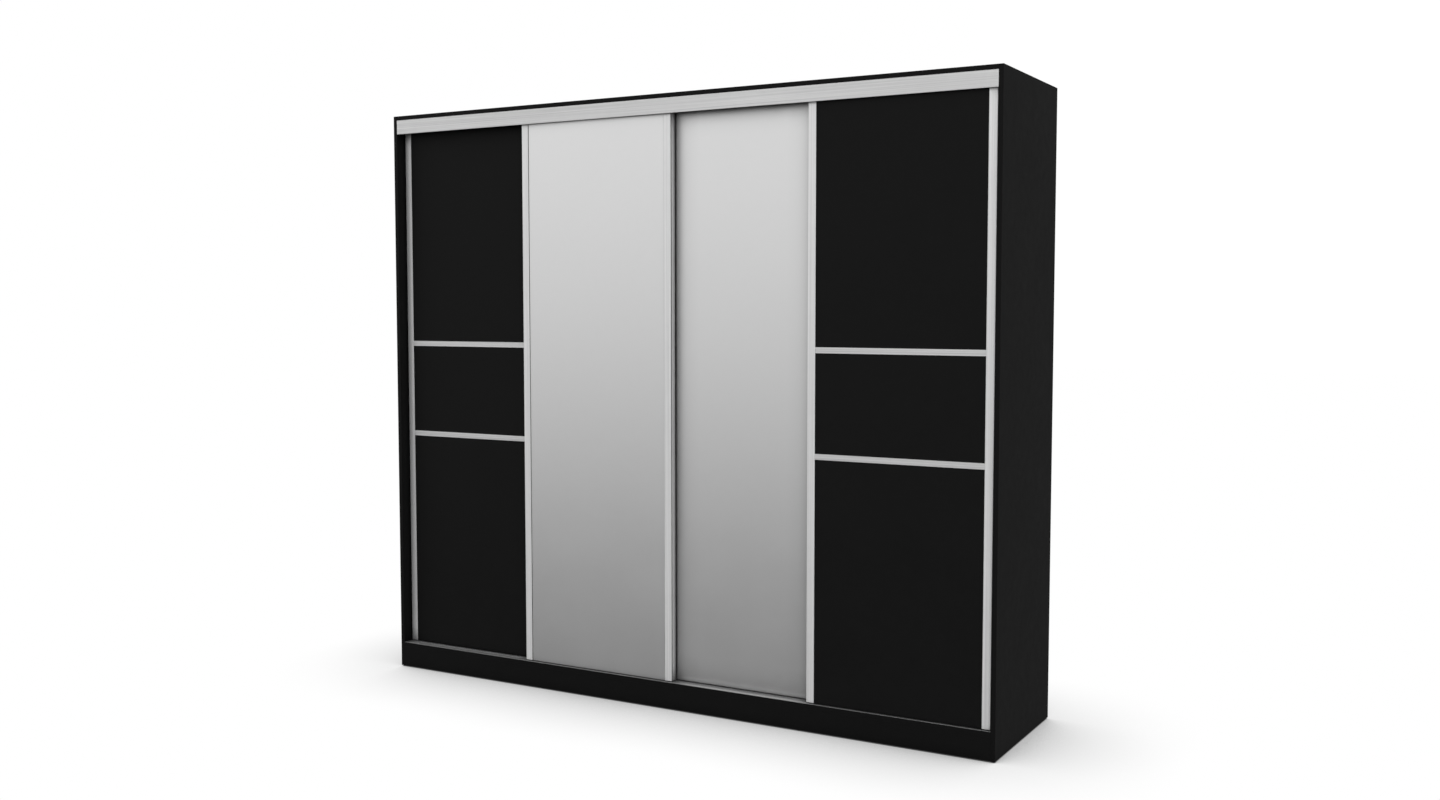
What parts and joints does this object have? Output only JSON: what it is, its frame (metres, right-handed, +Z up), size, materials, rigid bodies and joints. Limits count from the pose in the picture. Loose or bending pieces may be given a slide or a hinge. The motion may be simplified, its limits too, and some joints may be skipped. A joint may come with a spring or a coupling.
{
  "type": "sliding door wardrobe",
  "caption": "Wide floor-standing wardrobe whose panelled and mirrored doors slide past each other on two lanes, with hanging rods and shelves inside.",
  "frame": {"origin": "on the floor under the middle of the footprint", "axes": "+X to the right along the front, +Y from the doors to the back, +Z up"},
  "size_m": [2.5, 0.5782, 2.209],
  "materials": {
    "black_laminate": "matt black melamine-faced chipboard with a fine pore texture",
    "hardboard": "black lacquered thin hardboard",
    "brushed_aluminium": "satin anodised, finely brushed along its length",
    "mirror_glass": "silvered float glass",
    "backing_board": "plain brown fibreboard",
    "galvanised_steel": "zinc-coated sheet",
    "nylon": "off-white moulded nylon",
    "chromed_tube": "polished chrome",
    "black_plastic": "moulded black plastic"
  },
  "bodies": {
    "carcass": {"side_panel_left": "black_laminate", "side_panel_right": "black_laminate", "top_panel": "black_laminate", "bottom_panel": "black_laminate", "divider_left": "black_laminate", "divider_right": "black_laminate", "plinth_front": "black_laminate", "plinth_back": "black_laminate", "top_shelf_left": "black_laminate", "top_shelf_centre": "black_laminate", "top_shelf_right": "black_laminate", "linen_shelf": "black_laminate", "back_panel": "hardboard", "fascia": "brushed_aluminium", "top_track": "brushed_aluminium", "bottom_track": "brushed_aluminium", "hanging_rod_left": "chromed_tube", "hanging_rod_centre": "chromed_tube", "foot_front_1": "black_plastic", "foot_front_2": "black_plastic", "foot_front_3": "black_plastic", "foot_front_4": "black_plastic", "foot_rear_1": "black_plastic", "foot_rear_2": "black_plastic", "foot_rear_3": "black_plastic", "foot_rear_4": "black_plastic"},
    "door_1": {"door_1_stile_left": "brushed_aluminium", "door_1_stile_right": "brushed_aluminium", "door_1_panel_lower": "black_laminate", "door_1_panel_middle": "black_laminate", "door_1_panel_upper": "black_laminate", "door_1_strip_lower": "brushed_aluminium", "door_1_strip_upper": "brushed_aluminium", "door_1_bottom_rail": "galvanised_steel"},
    "door_1_wheel_left": {"door_1_wheel_left": "nylon"},
    "door_1_wheel_right": {"door_1_wheel_right": "nylon"},
    "door_2": {"door_2_stile_left": "brushed_aluminium", "door_2_stile_right": "brushed_aluminium", "door_2_mirror": "mirror_glass", "door_2_board": "backing_board", "door_2_bottom_rail": "galvanised_steel"},
    "door_2_wheel_left": {"door_2_wheel_left": "nylon"},
    "door_2_wheel_right": {"door_2_wheel_right": "nylon"},
    "door_3": {"door_3_stile_left": "brushed_aluminium", "door_3_stile_right": "brushed_aluminium", "door_3_mirror": "mirror_glass", "door_3_board": "backing_board", "door_3_bottom_rail": "galvanised_steel"},
    "door_3_wheel_left": {"door_3_wheel_left": "nylon"},
    "door_3_wheel_right": {"door_3_wheel_right": "nylon"},
    "door_4": {"door_4_stile_left": "brushed_aluminium", "door_4_stile_right": "brushed_aluminium", "door_4_panel_lower": "black_laminate", "door_4_panel_middle": "black_laminate", "door_4_panel_upper": "black_laminate", "door_4_strip_lower": "brushed_aluminium", "door_4_strip_upper": "brushed_aluminium", "door_4_bottom_rail": "galvanised_steel"},
    "door_4_wheel_left": {"door_4_wheel_left": "nylon"},
    "door_4_wheel_right": {"door_4_wheel_right": "nylon"}
  },
  "joints": [
    {"name": "door_1_slide", "type": "slide", "parent": "carcass", "child": "door_1", "axis": [1, 0, 0], "range_m": [0, 0.54]},
    {"name": "door_2_slide", "type": "slide", "parent": "carcass", "child": "door_2", "axis": [1, 0, 0], "range_m": [-0.605, 0]},
    {"name": "door_3_slide", "type": "slide", "parent": "carcass", "child": "door_3", "axis": [1, 0, 0], "range_m": [0, 0.605]},
    {"name": "door_4_slide", "type": "slide", "parent": "carcass", "child": "door_4", "axis": [1, 0, 0], "range_m": [-0.54, 0]},
    {"name": "door_1_wheel_left_spin", "type": "hinge", "parent": "door_1", "child": "door_1_wheel_left", "pos_m": [-1.159, -0.22515, 0.1154], "axis": [0, 1, 0], "continuous": true},
    {"name": "door_1_wheel_right_spin", "type": "hinge", "parent": "door_1", "child": "door_1_wheel_right", "pos_m": [-0.644, -0.22515, 0.1154], "axis": [0, 1, 0], "continuous": true},
    {"name": "door_2_wheel_left_spin", "type": "hinge", "parent": "door_2", "child": "door_2_wheel_left", "pos_m": [-0.5532, -0.25815, 0.1154], "axis": [0, 1, 0], "continuous": true},
    {"name": "door_2_wheel_right_spin", "type": "hinge", "parent": "door_2", "child": "door_2_wheel_right", "pos_m": [-0.0382, -0.25815, 0.1154], "axis": [0, 1, 0], "continuous": true},
    {"name": "door_3_wheel_left_spin", "type": "hinge", "parent": "door_3", "child": "door_3_wheel_left", "pos_m": [0.0382, -0.22515, 0.1154], "axis": [0, 1, 0], "continuous": true},
    {"name": "door_3_wheel_right_spin", "type": "hinge", "parent": "door_3", "child": "door_3_wheel_right", "pos_m": [0.5532, -0.22515, 0.1154], "axis": [0, 1, 0], "continuous": true},
    {"name": "door_4_wheel_left_spin", "type": "hinge", "parent": "door_4", "child": "door_4_wheel_left", "pos_m": [0.644, -0.25815, 0.1154], "axis": [0, 1, 0], "continuous": true},
    {"name": "door_4_wheel_right_spin", "type": "hinge", "parent": "door_4", "child": "door_4_wheel_right", "pos_m": [1.159, -0.25815, 0.1154], "axis": [0, 1, 0], "continuous": true}
  ],
  "couplings": [
    {"joint": "door_1_wheel_left_spin", "follows": "door_1_slide", "rad_per_m": 66.667},
    {"joint": "door_1_wheel_right_spin", "follows": "door_1_slide", "rad_per_m": 66.667},
    {"joint": "door_2_wheel_left_spin", "follows": "door_2_slide", "rad_per_m": 66.667},
    {"joint": "door_2_wheel_right_spin", "follows": "door_2_slide", "rad_per_m": 66.667},
    {"joint": "door_3_wheel_left_spin", "follows": "door_3_slide", "rad_per_m": 66.667},
    {"joint": "door_3_wheel_right_spin", "follows": "door_3_slide", "rad_per_m": 66.667},
    {"joint": "door_4_wheel_left_spin", "follows": "door_4_slide", "rad_per_m": 66.667},
    {"joint": "door_4_wheel_right_spin", "follows": "door_4_slide", "rad_per_m": 66.667}
  ]
}
